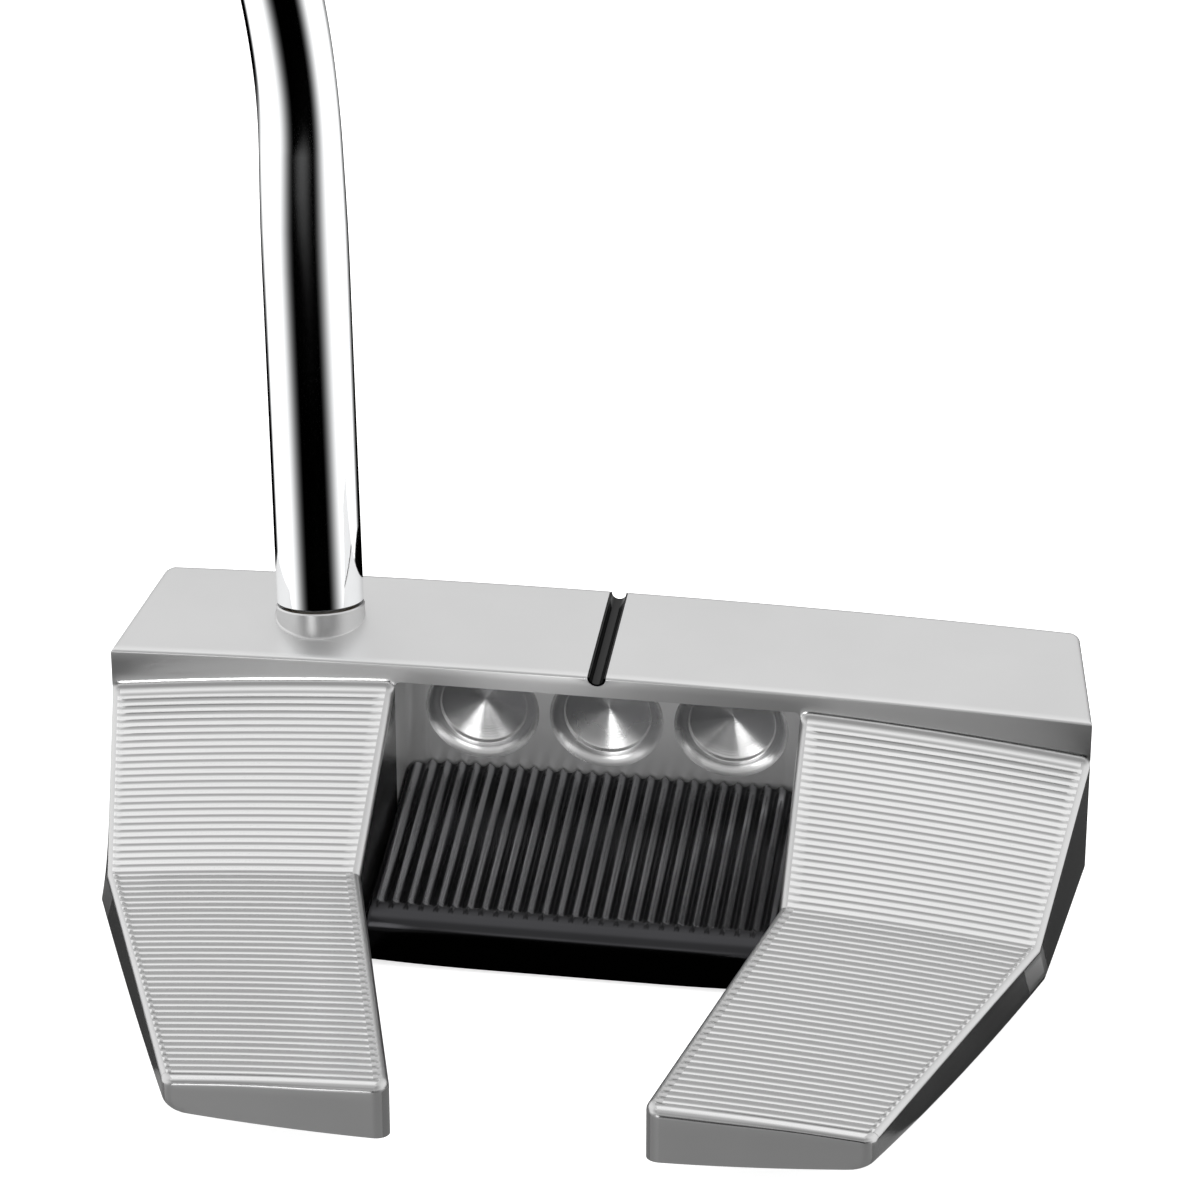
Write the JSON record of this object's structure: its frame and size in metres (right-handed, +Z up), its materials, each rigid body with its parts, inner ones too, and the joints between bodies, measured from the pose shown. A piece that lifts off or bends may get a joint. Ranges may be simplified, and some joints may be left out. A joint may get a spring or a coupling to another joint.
{
  "type": "mallet putter",
  "caption": "Right-handed mallet golf putter: milled steel head with two grooved rear wings, ribbed black flange, bent chromed shaft and pistol grip.",
  "frame": {"origin": "on the ground, in the middle of the flat land of the sole, straight under the rear edge of the top bar, with the club soled at its lie angle", "axes": "+X from heel to toe, +Y towards the target, +Z up"},
  "size_m": [0.3698, 0.0982, 0.8229],
  "materials": {
    "milled_stainless_steel": "milled, with a fine brushed and misted surface",
    "black_anodised_aluminium": "milled, black anodised, satin",
    "blackened_screw_steel": "black oxide",
    "black_paint": "glossy paint fill",
    "chromed_steel": "bright chrome plate",
    "epoxy": "cured adhesive",
    "grip_rubber": "matt moulded rubber",
    "tape_paper": "double-sided adhesive tape"
  },
  "bodies": {
    "root": {"head_body": "milled_stainless_steel", "sole_flange": "black_anodised_aluminium", "sight_line_fill": "black_paint", "heel_weight": "milled_stainless_steel", "toe_weight": "milled_stainless_steel", "flange_screw_1": "blackened_screw_steel", "flange_screw_2": "blackened_screw_steel", "flange_screw_3": "blackened_screw_steel", "flange_screw_4": "blackened_screw_steel", "shaft": "chromed_steel", "shaft_bond": "epoxy", "grip_tape": "tape_paper", "grip": "grip_rubber"}
  },
  "joints": []
}
